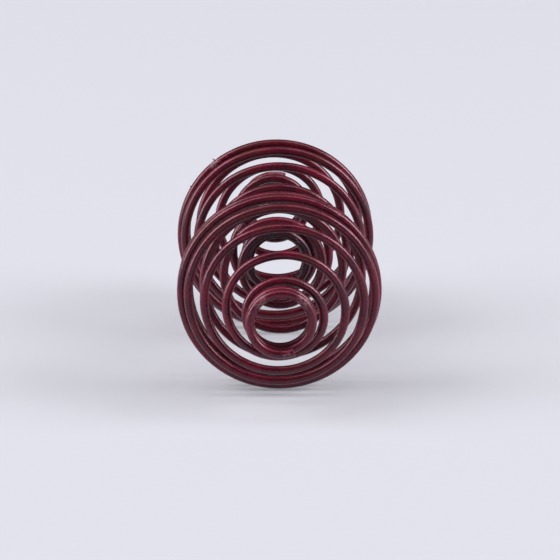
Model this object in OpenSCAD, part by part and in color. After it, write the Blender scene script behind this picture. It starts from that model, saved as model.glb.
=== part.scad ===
// Double barrel spring. One length of round lacquered wire is coiled into two bulges with a
// narrow waist between them, and it is wound closed at both ends and at the waist.
// The coil lies on its two bulges: its axis runs along Y, and its near end is at -Y.
// The wire's middle line is a chain of half turns, each one a true arc. Every half turn starts
// square to the plane in which the last one ended, so the wire runs smoothly from end to end.
// The last half turn stops where the far end is cut.

/* [Wire] */
// Diameter of the lacquered wire
wire_d = 1.3; // [0.8:0.05:1.6]
// Space left between coils that are wound closed
closed_gap = 0.05; // [0.03:0.01:0.3]

/* [Outer diameters] */
// Coils at the two ends
end_d = 10.2; // [8:0.1:12]
// Crests of the two bulges
bulge_d = 30; // [24:0.5:36]
// Waist between the bulges
waist_d = 9.6; // [8:0.1:12]

/* [Turns, from the near end to the far end] */
// Closed turns at the near end
near_end_turns = 2.05; // [1:0.01:4]
// Turns that widen from the near end to the near bulge
near_cone_turns = 4.55; // [3:0.05:7]
// Turns along the crest of the near bulge
near_crest_turns = 0.5; // [0.2:0.05:4]
// Turns that narrow from the near bulge to the waist
near_neck_turns = 5.1; // [3:0.05:7]
// Turns at the waist
waist_turns = 0.2; // [0.1:0.05:4]
// Turns that widen from the waist to the far bulge
far_neck_turns = 5.75; // [3:0.05:7]
// Turns along the crest of the far bulge
far_crest_turns = 0.3; // [0.2:0.05:4]
// Turns that narrow from the far bulge to the far end
far_cone_turns = 4.95; // [3:0.05:7]
// Closed turns at the far end
far_end_turns = 2.23; // [1:0.01:4]

/* [Space between turns] */
// Halfway up the near cone
near_cone_gap = 1.8; // [0.1:0.05:3]
// At the crest of the near bulge
near_crest_gap = 0.15; // [0.1:0.05:3]
// Halfway down the near neck
near_neck_gap = 2.1; // [0.1:0.05:3]
// Halfway up the far neck
far_neck_gap = 0.8; // [0.1:0.05:3]
// At the crest of the far bulge
far_crest_gap = 1.35; // [0.1:0.05:3]
// Halfway down the far cone
far_cone_gap = 1.35; // [0.1:0.05:3]

/* [Fullness: how soon the coil swells from a narrow end. 1 is even, and less is sooner] */
// Near cone
near_cone_fullness = 0.75; // [0.6:0.05:1.3]
// Near neck
near_neck_fullness = 0.85; // [0.6:0.05:1.3]
// Far neck
far_neck_fullness = 1.05; // [0.6:0.05:1.3]
// Far cone
far_cone_fullness = 0.9; // [0.6:0.05:1.3]

/* [Finish] */
// Where the near end is cut, in degrees round the axis
start_angle = 65; // [0:5:355]
// Colour of the lacquer
lacquer = "#5a1f2a";

/* [Hidden] */

// Sections, from the near end to the far end
turns = [near_end_turns, near_cone_turns, near_crest_turns, near_neck_turns, waist_turns,
         far_neck_turns, far_crest_turns, far_cone_turns, far_end_turns];
gaps = [closed_gap, near_cone_gap, near_crest_gap, near_neck_gap, closed_gap,
        far_neck_gap, far_crest_gap, far_cone_gap, closed_gap];
fullness = [1, near_cone_fullness, 1, near_neck_fullness, 1,
            far_neck_fullness, 1, far_cone_fullness, 1];
// Outer diameter where each section starts, and where the last one ends
limits_d = [end_d, end_d, bulge_d, bulge_d, waist_d, waist_d, bulge_d, bulge_d, end_d, end_d];

function sum_to(values, count) = count <= 0 ? 0 : values[count - 1] + sum_to(values, count - 1);
starts = [for (i = [0:len(turns)]) sum_to(turns, i)];

// The wire's length in half turns, to the nearest hundredth, and the share that is made of each
length_in_halves = round(200 * starts[len(turns)]) / 100;
half_turns = ceil(length_in_halves);
function share(k) = min(1, length_in_halves - k);

// Section in which turn t lies, and how far t is through it
function section(t, i = 0) = i + 1 < len(turns) && t >= starts[i + 1] ? section(t, i + 1) : i;
function through(t, i) = min(1, (t - starts[i]) / turns[i]);

// A cone or neck swells from its narrow end along half a cosine wave
function swell(s, fuller) = (1 - cos(180 * pow(s, fuller))) / 2;
function blend(from, to, s, fuller) =
    from < to ? from + (to - from) * swell(s, fuller) : to + (from - to) * swell(1 - s, fuller);
function radius(t) =
    let (i = section(t))
    (blend(limits_d[i], limits_d[i + 1], through(t, i), fullness[i]) - wire_d) / 2;
radii = [for (k = [0:half_turns]) radius(k / 2)];

// The pitch changes evenly from the middle of one section to the middle of the next
pitches = [for (i = [0:len(turns) - 1]) [starts[i] + turns[i] / 2, wire_d + gaps[i]]];
function pitch(t) = lookup(t, pitches);

// Half turn k spans the axis from its start to its end, and slopes by half a pitch. The slope
// is rounded to a cosine of six decimals, so that the chain of half turns meets exactly.
function span(k) = radii[k] + radii[k + 1];
function round_slope(angle) = acos(round(cos(angle) * 1e6) / 1e6);
function slope(k) = round_slope(atan2(pitch((k + 0.5) / 2) / 2, span(k)));
function rise(k) = span(k) * tan(slope(k));
function bend(k) = span(k) / cos(slope(k)) / 2;
function advance(k) = rise(k) * (1 - cos(180 * share(k))) / 2;
middle = sum_to([for (k = [0:half_turns - 1]) advance(k)], half_turns) / 2;

// The coil rests on the lowest point of its wire
function depth(k, angle) =
    (k % 2 == 0 ? 1 : -1)
    * ((radii[k] - radii[k + 1] + span(k) * cos(angle)) / 2 * sin(start_angle)
       + bend(k) * sin(angle) * cos(start_angle));
lowest = max([for (k = [0:half_turns - 1]) for (angle = [0:2:180]) depth(k, angle)]);
axis_height = lowest + wire_d / 2;

// Half turn k, in the frame in which it starts
module half_turn(k) {
    rotate([0, slope(k), 0])
        translate([-bend(k), 0, 0])
            rotate_extrude(angle = 180 * share(k), $fn = 60)
                translate([bend(k), 0])
                    circle(d = wire_d, $fn = 36);
}

// Frame in which half turn k ends
module after(k) {
    rotate([0, slope(k), 0])
        translate([-bend(k), 0, 0])
            translate([-bend(k), 0, 0])
                rotate([0, -slope(k), 0])
                    rotate([0, 0, 180])
                        children();
}

module after_all(count, k = 0) {
    if (k == count) children();
    else after(k) after_all(count, k + 1) children();
}

module spring_wire() {
    color(lacquer)
        translate([0, 0, axis_height])
            rotate([-90, 0, 0])
                rotate([0, 0, start_angle])
                    translate([radii[0], 0, -middle])
                        for (k = [0:half_turns - 1]) after_all(k) half_turn(k);
}

spring_wire();
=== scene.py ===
# %% [markdown]
# A double barrel spring in lacquered wire
#
# The real object is one length of round steel wire. It was coiled on a mandrel that swells into
# two bulges, it was wound closed at both ends and at the waist, and it was dipped in maroon
# lacquer. It lies on its two bulges, with its axis towards the camera.
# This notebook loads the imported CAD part, works out the wire's middle line by the same rule as
# the part, sweeps a fine wire along it with Geometry Nodes, and gives it its lacquer.

# %% Load the frame
import math

import bmesh
import bpy
from mathutils import Matrix, Vector


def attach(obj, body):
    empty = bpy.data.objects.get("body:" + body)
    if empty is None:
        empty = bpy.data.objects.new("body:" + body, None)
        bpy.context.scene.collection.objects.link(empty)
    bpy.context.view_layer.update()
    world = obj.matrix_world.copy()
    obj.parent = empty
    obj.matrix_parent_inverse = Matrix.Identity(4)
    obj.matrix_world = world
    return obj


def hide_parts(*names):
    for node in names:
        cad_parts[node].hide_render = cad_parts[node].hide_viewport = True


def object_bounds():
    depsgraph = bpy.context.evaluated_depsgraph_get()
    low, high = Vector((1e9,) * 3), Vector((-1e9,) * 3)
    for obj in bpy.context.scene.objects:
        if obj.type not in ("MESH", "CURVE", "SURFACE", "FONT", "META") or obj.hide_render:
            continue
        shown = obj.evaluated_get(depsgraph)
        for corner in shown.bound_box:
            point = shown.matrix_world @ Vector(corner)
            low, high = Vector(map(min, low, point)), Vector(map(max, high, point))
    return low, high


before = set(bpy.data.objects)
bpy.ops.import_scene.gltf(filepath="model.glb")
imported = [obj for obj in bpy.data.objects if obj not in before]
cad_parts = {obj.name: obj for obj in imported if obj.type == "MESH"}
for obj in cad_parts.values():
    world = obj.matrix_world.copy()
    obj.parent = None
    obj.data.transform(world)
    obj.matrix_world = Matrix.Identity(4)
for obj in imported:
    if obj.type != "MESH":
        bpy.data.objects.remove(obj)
cad_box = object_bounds()
MM = 0.001
print("CAD nodes:", len(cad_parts))
print("CAD box, mm:", [[round(c / MM, 2) for c in corner] for corner in cad_box])

# %% [markdown]
# The rule of the coil
#
# A maker gives a coiled spring as a short table: so many turns for each section, the diameter
# where the section starts and ends, and the space between its turns. Everything else follows.
# The CAD part is built from the same table, so the fine wire lies exactly where the part lies.
# The alternative is to read points from the CAD mesh, but then a change of one size would mean
# tracing them again.

# %% The driving sizes, in millimetres
WIRE_D = 1.3
CLOSED_GAP = 0.05
END_D = 10.2
BULGE_D = 30.0
WAIST_D = 9.6
START_ANGLE = math.radians(65)

# Each section: its name, its turns, the space between them, and its fullness
SECTIONS = [
    ("near end", 2.05, CLOSED_GAP, 1.0),
    ("near cone", 4.55, 1.8, 0.75),
    ("near crest", 0.5, 0.15, 1.0),
    ("near neck", 5.1, 2.1, 0.85),
    ("waist", 0.2, CLOSED_GAP, 1.0),
    ("far neck", 5.75, 0.8, 1.05),
    ("far crest", 0.3, 1.35, 1.0),
    ("far cone", 4.95, 1.35, 0.9),
    ("far end", 2.23, CLOSED_GAP, 1.0),
]
LIMITS_D = [END_D, END_D, BULGE_D, BULGE_D, WAIST_D, WAIST_D, BULGE_D, BULGE_D, END_D, END_D]

# The wire's length is rounded to a hundredth of a half turn, as the CAD part's is
names, turns, gaps, fullness = zip(*SECTIONS)
starts = [sum(turns[:i]) for i in range(len(turns) + 1)]
LENGTH_IN_HALVES = round(200 * starts[-1]) / 100
HALF_TURNS = math.ceil(LENGTH_IN_HALVES)
LAST_SHARE = LENGTH_IN_HALVES - (HALF_TURNS - 1)
print("turns:", round(starts[-1], 2), "in", HALF_TURNS, "half turns, of which the last is",
      round(LAST_SHARE, 2), "made")


# %% [markdown]
# The wire's middle line
#
# In a cone the coil's radius grows along half a cosine wave, which is how a barrel swells. The
# pitch changes evenly from the middle of one section to the middle of the next. The line is cut
# into half turns. Each half turn is a true arc that leans by half a pitch, so only the points
# where the half turns meet have to be worked out here. The last half turn is cut short.

# %% Radius at any turn
SUM_ERROR = 1e-9  # how far a sum of turns may be off in its last digits


def section_at(turn):
    """Which section a turn lies in."""
    index = 0
    while index + 1 < len(turns) and turn >= starts[index + 1] - SUM_ERROR:
        index += 1
    return index


def swell(part, fuller):
    """How far a cone has swelled, from 0 at its narrow end to 1 at its crest."""
    return (1 - math.cos(math.pi * part**fuller)) / 2


def coil_radius(turn):
    """From the axis to the middle of the wire."""
    index = section_at(turn)
    part = min(1.0, (turn - starts[index]) / turns[index])
    low, high = LIMITS_D[index], LIMITS_D[index + 1]
    if low < high:
        outer = low + (high - low) * swell(part, fullness[index])
    else:
        outer = high + (low - high) * swell(1 - part, fullness[index])
    return (outer - WIRE_D) / 2


radii = [coil_radius(k / 2) for k in range(HALF_TURNS + 1)]
print("radius, mm: from", round(min(radii), 2), "to", round(max(radii), 2))

# %% Pitch at any turn, and the coil's length
middles = [start + count / 2 for start, count in zip(starts, turns)]
pitches = [WIRE_D + gap for gap in gaps]


def pitch(turn):
    """From the middle of one turn to the middle of the next."""
    if turn <= middles[0]:
        return pitches[0]
    for i in range(len(middles) - 1):
        if turn <= middles[i + 1]:
            part = (turn - middles[i]) / (middles[i + 1] - middles[i])
            return pitches[i] + (pitches[i + 1] - pitches[i]) * part
    return pitches[-1]


rises = [pitch((k + 0.5) / 2) / 2 for k in range(HALF_TURNS)]
last_rise = rises[-1] * (1 - math.cos(math.pi * LAST_SHARE)) / 2
coil_length = sum(rises[:-1]) + last_rise
axis_places = [sum(rises[:k]) - coil_length / 2 for k in range(HALF_TURNS + 1)]
print("coil length along the axis, mm:", round(coil_length + WIRE_D, 2))

# %% Where the half turns meet, in the frame
# The axis lies along Y. Its height comes from the CAD part, which rests on the floor.
axis_z = (cad_box[0].z + cad_box[1].z) / 2
outward = Vector((math.cos(START_ANGLE), 0, -math.sin(START_ANGLE)))
sideways = Vector((-math.sin(START_ANGLE), 0, -math.cos(START_ANGLE)))


def outward_sign(k):
    """1 where half turn k starts on the outward side of the axis, and -1 on the other side."""
    return 1 if k % 2 == 0 else -1


def joint(k):
    """The point where half turn k starts."""
    radial = outward * (outward_sign(k) * radii[k] * MM)
    return radial + Vector((0, axis_places[k] * MM, axis_z))


joints = [joint(k) for k in range(HALF_TURNS + 1)]


def wire_middle(turn):
    """A point on the wire's middle line."""
    k = min(HALF_TURNS - 1, math.floor(2 * turn))
    angle = math.pi * (2 * turn - k)
    arc_middle = (joints[k] + joints[k + 1]) / 2
    to_start = joints[k] - arc_middle
    aside = sideways * (outward_sign(k) * to_start.length * math.sin(angle))
    return arc_middle + to_start * math.cos(angle) + aside


print("near end, mm:", [round(c / MM, 2) for c in wire_middle(0)])
print("far end, mm:", [round(c / MM, 2) for c in wire_middle(LENGTH_IN_HALVES / 2)])


# %% [markdown]
# Sweeping the wire with Geometry Nodes
#
# The coil follows a rule, so a node tree makes it. The tree takes the joints as bare vertices.
# It lays a line of many vertices, moves each one to its place on its own half turn, makes the
# line a curve and sweeps a circle along it. The sizes are named inputs, so that the tree can be
# used again for another coil.
# A Screw modifier can make a plain helix, but not one whose radius and pitch both change.

# %% Small helpers for wiring nodes
def wire_up(tree, node_type, inputs=None, **settings):
    """Adds a node, sets its properties, and sets or links its inputs by name or number."""
    node = tree.nodes.new(node_type)
    for name, value in settings.items():
        setattr(node, name, value)
    for key, value in (inputs or {}).items():
        socket = node.inputs[key]
        if isinstance(value, bpy.types.NodeSocket):
            tree.links.new(value, socket)
        else:
            socket.default_value = value
    return node


def math_node(tree, operation, *values):
    """The result of one Math node."""
    node = wire_up(tree, "ShaderNodeMath", dict(enumerate(values)), operation=operation)
    return node.outputs[0]


def vector_node(tree, operation, *values, result="Vector", **named):
    """One output of a Vector Math node, which is its vector unless another is named."""
    inputs = {**dict(enumerate(values)), **named}
    node = wire_up(tree, "ShaderNodeVectorMath", inputs, operation=operation)
    return node.outputs[result]


# %% The tree and its inputs
sweep = bpy.data.node_groups.new("sweep_wire", "GeometryNodeTree")
sweep.interface.new_socket("Joints", in_out="INPUT", socket_type="NodeSocketGeometry")
for name, kind in (
    ("Half Turns", "NodeSocketInt"),
    ("Last Share", "NodeSocketFloat"),
    ("Steps", "NodeSocketInt"),
    ("Sides", "NodeSocketInt"),
    ("Wire Radius", "NodeSocketFloat"),
    ("Sideways", "NodeSocketVector"),
    ("Coat Unevenness", "NodeSocketFloat"),
    ("Wave Length", "NodeSocketFloat"),
    ("Lacquer", "NodeSocketMaterial"),
):
    sweep.interface.new_socket(name, in_out="INPUT", socket_type=kind)
sweep.interface.new_socket("Wire", in_out="OUTPUT", socket_type="NodeSocketGeometry")
group_in = sweep.nodes.new("NodeGroupInput").outputs
group_out = sweep.nodes.new("NodeGroupOutput").inputs
print("inputs:", [item.name for item in sweep.interface.items_tree if item.in_out == "INPUT"])

# %% [markdown]
# From a line of vertices to the coil
#
# The line has one vertex for each step of each half turn. A vertex's number says which half turn
# it is on and how far along it is, and that gives its angle. Its place on the arc then follows
# from the two joints: the middle between them, plus the way to the first joint times the cosine,
# plus the way sideways times the sine. The joints are read by number with Sample Index.

# %% Which half turn each vertex is on, and its angle along that half turn
steps_in_all = math_node(sweep, "MULTIPLY", group_in["Half Turns"], group_in["Steps"])
vertex_count = math_node(sweep, "ADD", steps_in_all, 1.0)
line = wire_up(sweep, "GeometryNodeMeshLine", {"Count": vertex_count})
index = sweep.nodes.new("GeometryNodeInputIndex").outputs[0]

last_half = math_node(sweep, "SUBTRACT", group_in["Half Turns"], 1.0)
half = math_node(sweep, "FLOOR", math_node(sweep, "DIVIDE", index, group_in["Steps"]))
half = math_node(sweep, "MINIMUM", half, last_half)
steps_before = math_node(sweep, "MULTIPLY", half, group_in["Steps"])
step = math_node(sweep, "SUBTRACT", index, steps_before)
part = math_node(sweep, "DIVIDE", step, group_in["Steps"])

# Only the last half turn is cut short. Numbers less than a half apart count as the same.
on_last = math_node(sweep, "COMPARE", half, last_half, 0.5)
missing = math_node(sweep, "SUBTRACT", 1.0, group_in["Last Share"])
share = math_node(sweep, "SUBTRACT", 1.0, math_node(sweep, "MULTIPLY", on_last, missing))
angle = math_node(sweep, "MULTIPLY", math_node(sweep, "MULTIPLY", part, share), math.pi)
print("nodes in the tree:", len(sweep.nodes))


# %% Each vertex's place on its arc
def joint_at(number):
    """The place of a joint, read from the joints' vertices by number."""
    position = sweep.nodes.new("GeometryNodeInputPosition").outputs[0]
    inputs = {"Geometry": group_in["Joints"], "Value": position, "Index": number}
    node = wire_up(sweep, "GeometryNodeSampleIndex", inputs, data_type="FLOAT_VECTOR")
    return node.outputs[0]


start_joint = joint_at(half)
end_joint = joint_at(math_node(sweep, "ADD", half, 1.0))
both_joints = vector_node(sweep, "ADD", start_joint, end_joint)
arc_middle = vector_node(sweep, "SCALE", both_joints, Scale=0.5)
to_start = vector_node(sweep, "SUBTRACT", start_joint, arc_middle)
along_start = vector_node(sweep, "SCALE", to_start, Scale=math_node(sweep, "COSINE", angle))

arc_radius = vector_node(sweep, "LENGTH", to_start, result="Value")
odd = math_node(sweep, "MODULO", half, 2.0)
side_sign = math_node(sweep, "SUBTRACT", 1.0, math_node(sweep, "MULTIPLY", odd, 2.0))
signed_radius = math_node(sweep, "MULTIPLY", arc_radius, side_sign)
side_length = math_node(sweep, "MULTIPLY", signed_radius, math_node(sweep, "SINE", angle))
along_side = vector_node(sweep, "SCALE", group_in["Sideways"], Scale=side_length)

from_middle = vector_node(sweep, "ADD", along_start, along_side)
arc_place = vector_node(sweep, "ADD", arc_middle, from_middle)
placed = wire_up(
    sweep, "GeometryNodeSetPosition", {"Geometry": line.outputs[0], "Position": arc_place}
)
print("nodes in the tree:", len(sweep.nodes))


# %% [markdown]
# From the line to the coated wire
#
# The line becomes a curve, and a circle is swept along it and closed at both ends. The tree also
# stores how far along the wire each vertex lies, and on which side of it, because the lacquer's
# marks follow the wire. Dipped lacquer is never quite even, so noise then pushes the skin in and
# out along its normal. A Displace modifier could do this too, but here the size of the waves is a
# named input beside the others.

# %% Sweep a circle along the line
def store(geometry, name, value, data_type):
    """The geometry, with a named attribute on its points."""
    inputs = {"Geometry": geometry, "Name": name, "Value": value}
    node = wire_up(sweep, "GeometryNodeStoreNamedAttribute", inputs,
                   data_type=data_type, domain="POINT")
    return node.outputs[0]


curve = wire_up(sweep, "GeometryNodeMeshToCurve", {"Mesh": placed.outputs[0]})
length_along = sweep.nodes.new("GeometryNodeSplineParameter").outputs["Length"]
curve = store(curve.outputs[0], "along_wire", length_along, "FLOAT")

profile = wire_up(
    sweep,
    "GeometryNodeCurvePrimitiveCircle",
    {"Resolution": group_in["Sides"], "Radius": group_in["Wire Radius"]},
)
on_profile = sweep.nodes.new("GeometryNodeInputPosition").outputs[0]
side_of_wire = vector_node(sweep, "NORMALIZE", on_profile)
profile = store(profile.outputs[0], "round_wire", side_of_wire, "FLOAT_VECTOR")
swept = wire_up(
    sweep, "GeometryNodeCurveToMesh", {"Curve": curve, "Profile Curve": profile, "Fill Caps": True}
)
print("nodes in the tree:", len(sweep.nodes))

# %% The uneven coat, and the end of the tree
here = sweep.nodes.new("GeometryNodeInputPosition").outputs[0]
waves = math_node(sweep, "DIVIDE", 1.0, group_in["Wave Length"])
wave = wire_up(sweep, "ShaderNodeTexNoise", {"Vector": here, "Scale": waves, "Detail": 2.0})

# The noise runs from 0 to 1, and the push from minus the unevenness to plus the unevenness
push = math_node(sweep, "MULTIPLY_ADD", wave.outputs[0], 2.0, -1.0)
push = math_node(sweep, "MULTIPLY", push, group_in["Coat Unevenness"])
normal = sweep.nodes.new("GeometryNodeInputNormal").outputs[0]
offset = vector_node(sweep, "SCALE", normal, Scale=push)
uneven = wire_up(
    sweep, "GeometryNodeSetPosition", {"Geometry": swept.outputs[0], "Offset": offset}
)

smooth = wire_up(sweep, "GeometryNodeSetShadeSmooth", {"Geometry": uneven.outputs[0]})
real = wire_up(sweep, "GeometryNodeRealizeInstances", {"Geometry": smooth.outputs[0]})
lacquered = wire_up(
    sweep,
    "GeometryNodeSetMaterial",
    {"Geometry": real.outputs[0], "Material": group_in["Lacquer"]},
)
sweep.links.new(lacquered.outputs[0], group_out[0])
print("nodes in the tree:", len(sweep.nodes))


# %% [markdown]
# The lacquer
#
# The wire was dipped in maroon lacquer and hung to dry. The coat is dark and a little brown
# where it lies thick, and redder where it is thin. It has the fine dimples that painters call
# orange peel, and the lines of the drawn wire show faintly through it. Round the waist, where the
# close turns keep light out, the coat is painted nearly black as shade. A few places are scuffed,
# and a few pale spots are painted highlights.
# A picture texture could hold all this, but it would stretch along the coil. Noise in the
# object's own space has the same grain everywhere, and the stored attributes give the lines
# their direction. The next cells build the material one finish at a time.

# %% Helpers for patterns and tones
def noise(tree, vector, size, detail=2.0, rough=0.5):
    """Noise with features of about the given size, from 0 to 1."""
    inputs = {"Vector": vector, "Scale": 1 / size, "Detail": detail, "Roughness": rough}
    return wire_up(tree, "ShaderNodeTexNoise", inputs).outputs["Fac"]


def ramp(tree, value, low, high):
    """0 up to low, 1 from high, and smooth between them."""
    inputs = {"Value": value, "From Min": low, "From Max": high}
    node = wire_up(tree, "ShaderNodeMapRange", inputs, interpolation_type="SMOOTHSTEP")
    return node.outputs["Result"]


def closeness(tree, spot, centre, near, far):
    """1 up to the near distance from the centre, 0 past the far one, and smooth between them."""
    distance = vector_node(tree, "DISTANCE", spot, tuple(centre), result="Value")
    return math_node(tree, "SUBTRACT", 1.0, ramp(tree, distance, near, far))


def blend_tones(tree, share, first_tone, second_tone):
    """A mix of two tones, each one a colour or a socket."""
    node = wire_up(tree, "ShaderNodeMix", {"Factor": share}, data_type="RGBA")
    for socket, tone in ((node.inputs[6], first_tone), (node.inputs[7], second_tone)):
        if isinstance(tone, bpy.types.NodeSocket):
            tree.links.new(tone, socket)
        else:
            socket.default_value = (*tone, 1)
    return node.outputs[2]


# %% Start the lacquer, with the lines of the drawn wire
# The lines are long along the wire. Their width is measured round a wire of radius 1.
LINE_WIDTH = 0.1
LINE_LENGTH = 4 * MM
lacquer = bpy.data.materials.new("maroon_lacquer")
lacquer.use_nodes = True
coat = lacquer.node_tree
coat_inputs = coat.nodes["Principled BSDF"].inputs
spot = coat.nodes.new("ShaderNodeTexCoord").outputs["Object"]
along = wire_up(coat, "ShaderNodeAttribute", attribute_name="along_wire").outputs["Fac"]
around = wire_up(coat, "ShaderNodeAttribute", attribute_name="round_wire").outputs["Vector"]
shortened = math_node(coat, "MULTIPLY", along, LINE_WIDTH / LINE_LENGTH)
stretched = wire_up(coat, "ShaderNodeCombineXYZ", {"Z": shortened}).outputs[0]
drawn = noise(coat, vector_node(coat, "ADD", around, stretched), LINE_WIDTH, detail=3.0)
print("nodes in the lacquer:", len(coat.nodes))

# %% Thick and thin lacquer
# A size is that of the noise's features. A range is where the noise turns one tone into the next.
DEEP_TONE = (0.042, 0.003, 0.010)
RED_TONE = (0.155, 0.005, 0.021)
BROWN_TONE = (0.075, 0.010, 0.011)
PATCH_SIZE = 4.0 * MM
PATCH_SHARE = 0.4
MOTTLE_SIZE = 0.4 * MM
MOTTLE_SHARE = 0.6
THIN_RANGE = (0.35, 0.65)
BROWN_SIZE = 7.0 * MM
BROWN_RANGE = (0.5, 0.7)
BROWN_SHARE = 0.7
patches = noise(coat, spot, PATCH_SIZE)
mottle = noise(coat, spot, MOTTLE_SIZE, rough=0.6)
thin = math_node(coat, "ADD", math_node(coat, "MULTIPLY", patches, PATCH_SHARE),
                 math_node(coat, "MULTIPLY", mottle, MOTTLE_SHARE))
tone = blend_tones(coat, ramp(coat, thin, *THIN_RANGE), DEEP_TONE, RED_TONE)
brown = ramp(coat, noise(coat, spot, BROWN_SIZE), *BROWN_RANGE)
tone = blend_tones(coat, math_node(coat, "MULTIPLY", brown, BROWN_SHARE), tone, BROWN_TONE)
print("nodes in the lacquer:", len(coat.nodes))

# %% Painted shade round the waist
# Painted shade: the waist's close turns keep light out, so the coat is darkened there. The shade
# is full within the first distance of the waist's middle, and gone past the second
WAIST_SHADE_TONE = (0.012, 0.004, 0.008)
WAIST_SHADE_REACH = (5.2 * MM, 7.8 * MM)
WAIST_SHADE_SHARE = 0.7
waist = names.index("waist")
waist_middle = (0, wire_middle(middles[waist]).y, axis_z)
waist_shade = closeness(coat, spot, waist_middle, *WAIST_SHADE_REACH)
tone = blend_tones(coat, math_node(coat, "MULTIPLY", waist_shade, WAIST_SHADE_SHARE), tone, WAIST_SHADE_TONE)
print("waist's middle, mm:", [round(c / MM, 1) for c in waist_middle])

# %% [markdown]
# The scuffs and painted glints
#
# Where the coil rubbed on other things the lacquer is torn and pale. The photograph shows where,
# so each scuff is named by its turn and its side, as one would point it out on the real spring.
# Texture Paint is the usual way, but it makes a picture, and a named place is easier to move.
# Within its reach a mark shows only where a fine streaky noise is high. Some marks are not
# scuffs but painted highlights: pale patches that stand for light glinting on the coat.

# %% A point on the skin of the wire
def wire_surface(turn, side):
    """A point on the skin of the wire, on the side that is given in degrees."""
    middle = wire_middle(turn)
    radial = Vector((middle.x, 0, middle.z - axis_z)).normalized()
    towards = radial * math.cos(math.radians(side)) - Vector((0, math.sin(math.radians(side)), 0))
    return middle + towards * (WIRE_D / 2 * MM)


print("from middle to skin, mm:", round((wire_surface(0, 0) - wire_middle(0)).length / MM, 2))

# %% Scuffs and painted glints
# Each scuff or painted glint: its turn, its side in degrees from outward towards the near end, and
# its reach in mm. Those on turns 0.46, 0.69, 11.69 and 25.58 are painted highlights, at least in
# part.
SCUFFS_AND_GLINTS = [
    (18.46, 40, 1.3),
    (19.46, 30, 1.0),
    (14.42, 60, 1.2),
    (11.69, 75, 0.7),
    (6.67, 20, 0.7),
    (0.69, 70, 1.5),
    (0.46, 70, 1.5),
    (0.04, 80, 0.8),
    (25.58, 30, 1.5),
]
# The pale tone is torn lacquer at the scuffs and a painted highlight at the glints
SCUFF_AND_GLINT_TONE = (0.40, 0.22, 0.25)
SCUFF_AND_GLINT_CORE = 0.3
SCUFF_AND_GLINT_SHARE = 0.85
STREAK_SIZE = 0.22 * MM
STREAK_RANGE = (0.5, 0.58)
near_scuff_or_glint = 0.0
for turn, side, reach in SCUFFS_AND_GLINTS:
    centre = wire_surface(turn, side)
    near_this = closeness(coat, spot, centre, SCUFF_AND_GLINT_CORE * reach * MM, reach * MM)
    near_scuff_or_glint = math_node(coat, "MAXIMUM", near_scuff_or_glint, near_this)
    print("scuff on turn", turn, "mm:", [round(c / MM, 1) for c in centre])

# The drawn lines and a fine noise make the streaks in equal parts
streaks = math_node(coat, "ADD", math_node(coat, "MULTIPLY", drawn, 0.5),
                    math_node(coat, "MULTIPLY", noise(coat, spot, STREAK_SIZE), 0.5))
scuffed_or_glinting = math_node(coat, "MULTIPLY", near_scuff_or_glint, ramp(coat, streaks, *STREAK_RANGE))
tone = blend_tones(coat, math_node(coat, "MULTIPLY", scuffed_or_glinting, SCUFF_AND_GLINT_SHARE), tone, SCUFF_AND_GLINT_TONE)
coat.links.new(tone, coat_inputs["Base Color"])

# %% [markdown]
# Gloss and relief
#
# The lacquer is satin, rougher in places and at the scuffs and painted glints. The streaks of light
# on the real wire are a little pink, so the specular tint is pink too. Orange peel and the drawn
# lines are far too fine to be geometry, so a Bump node tilts the normal as they would.

# %% Gloss
ROUGH_LEAST = 0.20
ROUGH_IN_PATCHES = 0.14
ROUGH_IN_SCUFFS_AND_GLINTS = 0.2
gloss = math_node(coat, "MULTIPLY_ADD", patches, ROUGH_IN_PATCHES, ROUGH_LEAST)
gloss = math_node(coat, "MULTIPLY_ADD", scuffed_or_glinting, ROUGH_IN_SCUFFS_AND_GLINTS, gloss)
coat.links.new(gloss, coat_inputs["Roughness"])
coat_inputs["Specular IOR Level"].default_value = 0.55
coat_inputs["Specular Tint"].default_value = (1.0, 0.72, 0.84, 1)
rough_most = ROUGH_LEAST + ROUGH_IN_PATCHES + ROUGH_IN_SCUFFS_AND_GLINTS
print("roughness from", ROUGH_LEAST, "to", round(rough_most, 2))

# %% Relief
PEEL_SIZE = 0.35 * MM
LINE_RELIEF = 0.5
SCUFF_AND_GLINT_RELIEF = -1.0
RELIEF_DEPTH = 0.015 * MM
relief = math_node(coat, "MULTIPLY_ADD", drawn, LINE_RELIEF, noise(coat, spot, PEEL_SIZE))
relief = math_node(coat, "MULTIPLY_ADD", scuffed_or_glinting, SCUFF_AND_GLINT_RELIEF, relief)
bump = wire_up(coat, "ShaderNodeBump", {"Height": relief, "Distance": RELIEF_DEPTH,
                                        "Strength": 1.0})
coat.links.new(bump.outputs[0], coat_inputs["Normal"])
print("nodes in the lacquer:", len(coat.nodes))

# %% [markdown]
# From tree to mesh
#
# The tree now runs on the joints, with the sizes as its named inputs. Its result is kept as a
# plain mesh, because the exported model has to hold the wire itself and not the recipe. Sixty
# steps to a half turn and 28 sides keep the wire round in a close view. The coat is uneven by up
# to 0.02 mm either way.

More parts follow.
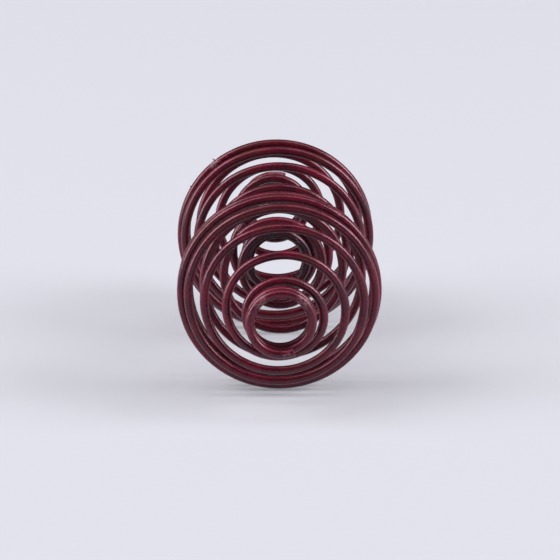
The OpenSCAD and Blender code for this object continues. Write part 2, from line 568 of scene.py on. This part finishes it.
# %% Give the tree its joints and its sizes
STEPS = 60
SIDES = 28
COAT_UNEVENNESS = 0.02 * MM
COAT_WAVE = 1.6 * MM
joint_mesh = bpy.data.meshes.new("joints")
joint_mesh.from_pydata(joints, [], [])
sweeper = bpy.data.objects.new("sweeper", joint_mesh)
bpy.context.scene.collection.objects.link(sweeper)
modifier = sweeper.modifiers.new("sweep", "NODES")
modifier.node_group = sweep
sizes = {
    "Half Turns": HALF_TURNS,
    "Last Share": LAST_SHARE,
    "Steps": STEPS,
    "Sides": SIDES,
    "Wire Radius": WIRE_D / 2 * MM,
    "Sideways": tuple(sideways),
    "Coat Unevenness": COAT_UNEVENNESS,
    "Wave Length": COAT_WAVE,
    "Lacquer": lacquer,
}
for item in sweep.interface.items_tree:
    if item.name in sizes and item.in_out == "INPUT":
        modifier[item.identifier] = sizes[item.name]
print("joints:", len(joints), "sizes:", len(sizes))

# %% Keep the result as a plain mesh
evaluated = sweeper.evaluated_get(bpy.context.evaluated_depsgraph_get())
wire_mesh = bpy.data.meshes.new_from_object(evaluated)
sweeper.modifiers.remove(modifier)
bpy.data.objects.remove(sweeper)
wire = bpy.data.objects.new("lacquered_wire", wire_mesh)
bpy.context.scene.collection.objects.link(wire)
print("wire:", len(wire_mesh.vertices), "vertices,", len(wire_mesh.polygons), "faces")

# %% [markdown]
# The cut ends and the nibs
#
# The cutter left a square end and the lacquer rounded its edge, so the rim of each end face is
# bevelled. The end faces are the only ones with more than four sides. Where dust fell into the
# wet lacquer it dried as small nibs that stand up from the wire. Each is a round bead drawn out
# away from the wire and sunk into it, because bump alone wouldn't change the coil's outline.

# %% Round the rims of the two end faces
RIM_ROUND = 0.16 * MM
RIM_STEPS = 3
ROUND_PROFILE = 0.5
shape = bmesh.new()
shape.from_mesh(wire_mesh)
end_faces = [face for face in shape.faces if len(face.verts) > 4]
rims = [edge for face in end_faces for edge in face.edges]
print("end faces:", len(end_faces))
bmesh.ops.bevel(shape, geom=rims, offset=RIM_ROUND, segments=RIM_STEPS, profile=ROUND_PROFILE,
                affect="EDGES")

# %% Add the nibs
# Each nib: its turn, its side in degrees from outward towards the near end, and its height in mm
NIBS = [(18.463, 5, 0.45), (18.405, 10, 0.2), (19.52, 20, 0.2), (0.56, 60, 0.15), (6.71, 15, 0.2)]
NIB_RADIUS = 0.1
for turn, side, height in NIBS:
    foot = wire_surface(turn, side)
    outwards = (foot - wire_middle(turn)).normalized()
    stand = outwards.to_track_quat("Z", "Y").to_matrix().to_4x4()
    drawn_out = Matrix.Diagonal((NIB_RADIUS * MM, NIB_RADIUS * MM, height * MM, 1))
    bmesh.ops.create_icosphere(shape, subdivisions=2, radius=1,
                               matrix=Matrix.Translation(foot) @ stand @ drawn_out)
for face in shape.faces:
    face.smooth = True
shape.to_mesh(wire_mesh)
open_edges = sum(not edge.is_manifold for edge in shape.edges)
print("nibs:", len(NIBS), "open edges:", open_edges, "volume, mm3:",
      round(shape.calc_volume() / MM**3, 1))
shape.free()

# %% [markdown]
# Onto the frame
#
# The fine wire stands for the CAD solid, which stays in the simulation for collision.

# %% Tie the wire to the CAD part
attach(wire, "root")
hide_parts("spring_wire")
print("tied:", wire.name)

# %% [markdown]
# The floor
#
# The floor is only the stage, a plain pale sheet under the spring and behind it. From this height
# one large square fills the view. It has to look nearly white and still show the shadow. More
# light would do that, but it would wash out the lacquer. So the sheet glows a little to the
# camera and in reflections, and it throws less light back onto the wire than its colour would.
# A Light Path node tells these rays apart.

# %% The floor's paper
PAPER_TONE = (0.52, 0.52, 0.575)
BOUNCE_TONE = (0.28, 0.28, 0.31)
GLOW_TONE = (0.93, 0.93, 1.0)
GLOW_SHARE = 0.22


def pale_floor_material():
    """Matt paper that looks paler to the camera and in reflections than it does to the wire."""
    material = bpy.data.materials.new("pale_floor")
    material.use_nodes = True
    tree = material.node_tree
    shader = tree.nodes["Principled BSDF"]
    shader.inputs["Specular IOR Level"].default_value = 0.0
    ray = tree.nodes.new("ShaderNodeLightPath").outputs
    seen = math_node(tree, "MAXIMUM", ray["Is Camera Ray"], ray["Is Glossy Ray"])
    seen = math_node(tree, "MAXIMUM", seen, ray["Is Transmission Ray"])
    paper = blend_tones(tree, seen, BOUNCE_TONE, PAPER_TONE)
    tree.links.new(paper, shader.inputs["Base Color"])
    glow = wire_up(tree, "ShaderNodeEmission", {"Color": (*GLOW_TONE, 1), "Strength": 1.0})
    glow_share = math_node(tree, "MULTIPLY", seen, GLOW_SHARE)
    mixed = wire_up(tree, "ShaderNodeMixShader",
                    {0: glow_share, 1: shader.outputs[0], 2: glow.outputs[0]})
    tree.links.new(mixed.outputs[0], tree.nodes["Material Output"].inputs["Surface"])
    return material


pale_floor = pale_floor_material()
print("nodes in the floor's paper:", len(pale_floor.node_tree.nodes))

# %% Floor
FLOOR_SIZE = 6.0
edge = FLOOR_SIZE / 2
corners = [(-edge, -edge, 0), (edge, -edge, 0), (edge, edge, 0), (-edge, edge, 0)]
floor_mesh = bpy.data.meshes.new("floor")
floor_mesh.from_pydata(corners, [], [(0, 1, 2, 3)])
floor_mesh.materials.append(pale_floor)
floor = bpy.data.objects.new("floor", floor_mesh)
bpy.context.scene.collection.objects.link(floor)
print("floor, m:", FLOOR_SIZE)

# %% [markdown]
# The light
#
# A glossy wire shows each lamp as a streak along it, so a studio lights it with a few long soft
# boxes. Here six flat lamps make an arch over the spring, across its axis. The two on the left and
# the upper one on the right are the widest and brightest, so the turns have a soft bright streak on
# both of their shoulders, and the sides of the coil aren't left dull. One big lamp overhead would
# be simpler, but it lights the tops of the turns alone. A lamp's power is worked out from its area,
# so that its width can change while it looks as bright.

# %% Lamps
ARCH_RADIUS = 1.6
LAMP_ALONG_ARCH = 0.8

# Each lamp of the arch: its angle up from the left, how far it is in front of the coil's middle,
# its width along the coil's axis, and its brightness
ARCH_LAMPS = [
    (15, 0.20, 0.80, 7.8),
    (45, 0.10, 0.80, 7.8),
    (75, 0.00, 0.50, 3.6),
    (110, 0.00, 0.50, 3.6),
    (147, 0.20, 0.70, 11.5),
    (170, 0.20, 0.60, 4.6),
]


def arch_lamp(degrees, in_front, width, brightness):
    """A flat lamp that faces the spring from its place on the arch."""
    lamp = bpy.data.lights.new(f"arch_lamp_{degrees}", "AREA")
    lamp.shape = "RECTANGLE"
    lamp.size = width
    lamp.size_y = LAMP_ALONG_ARCH
    lamp.energy = math.pi * width * LAMP_ALONG_ARCH * brightness
    up_from_left = math.radians(degrees)
    stand = Vector((-math.cos(up_from_left), 0, math.sin(up_from_left))) * ARCH_RADIUS
    stand.y -= in_front
    away = (stand - Vector((0, 0, axis_z))).normalized()
    along_arch = away.cross(Vector((0, 1, 0))).normalized()
    along_axis = along_arch.cross(away)
    holder = bpy.data.objects.new(lamp.name, lamp)
    holder.location = stand
    holder.rotation_euler = Matrix((along_axis, along_arch, away)).transposed().to_euler()
    bpy.context.scene.collection.objects.link(holder)


for settings in ARCH_LAMPS:
    arch_lamp(*settings)
print("lamps:", len(ARCH_LAMPS))

# %% The studio's dim sky
SKY_TONE = (0.8, 0.8, 0.88)
SKY_STRENGTH = 0.08
world = bpy.data.worlds.new("studio")
world.use_nodes = True
sky = world.node_tree.nodes["Background"].inputs
sky["Color"].default_value = (*SKY_TONE, 1)
sky["Strength"].default_value = SKY_STRENGTH
bpy.context.scene.world = world
print("sky:", SKY_STRENGTH)

# %% [markdown]
# The camera
#
# The camera looks along the coil's axis, slightly from above and from about half a metre away.
# That is near enough for the far bulge to look smaller than the near one, as a real close view
# shows it, and a long lens then fills the frame. The camera aims a little below the middle of
# the coil. The view transform is Standard, which shows each colour about as it is written.

# %% Camera
CAMERA_DISTANCE = 0.5145
CAMERA_ELEVATION = math.radians(19.32)
CAMERA_YAW = math.radians(1.15)
LENS = 221.0
SENSOR_WIDTH = 36.0
AIM_RIGHT = 0.395 * MM
AIM_DOWN = 2.91 * MM
forward = Vector((math.sin(CAMERA_YAW), math.cos(CAMERA_YAW), 0))
right = Vector((math.cos(CAMERA_YAW), -math.sin(CAMERA_YAW), 0))
looking = forward * math.cos(CAMERA_ELEVATION) - Vector((0, 0, math.sin(CAMERA_ELEVATION)))
up = forward * math.sin(CAMERA_ELEVATION) + Vector((0, 0, math.cos(CAMERA_ELEVATION)))
coil_centre = Vector((0, 0, axis_z))
aim = coil_centre + right * AIM_RIGHT - up * AIM_DOWN
camera_data = bpy.data.cameras.new("camera")
camera_data.lens = LENS
camera_data.sensor_width = SENSOR_WIDTH
camera = bpy.data.objects.new("camera", camera_data)
camera.location = coil_centre - looking * CAMERA_DISTANCE
camera.rotation_euler = (aim - camera.location).to_track_quat("-Z", "Y").to_euler()
bpy.context.scene.collection.objects.link(camera)
bpy.context.scene.camera = camera
bpy.context.scene.view_settings.view_transform = "Standard"
print("camera, mm:", [round(c / MM, 1) for c in camera.location])
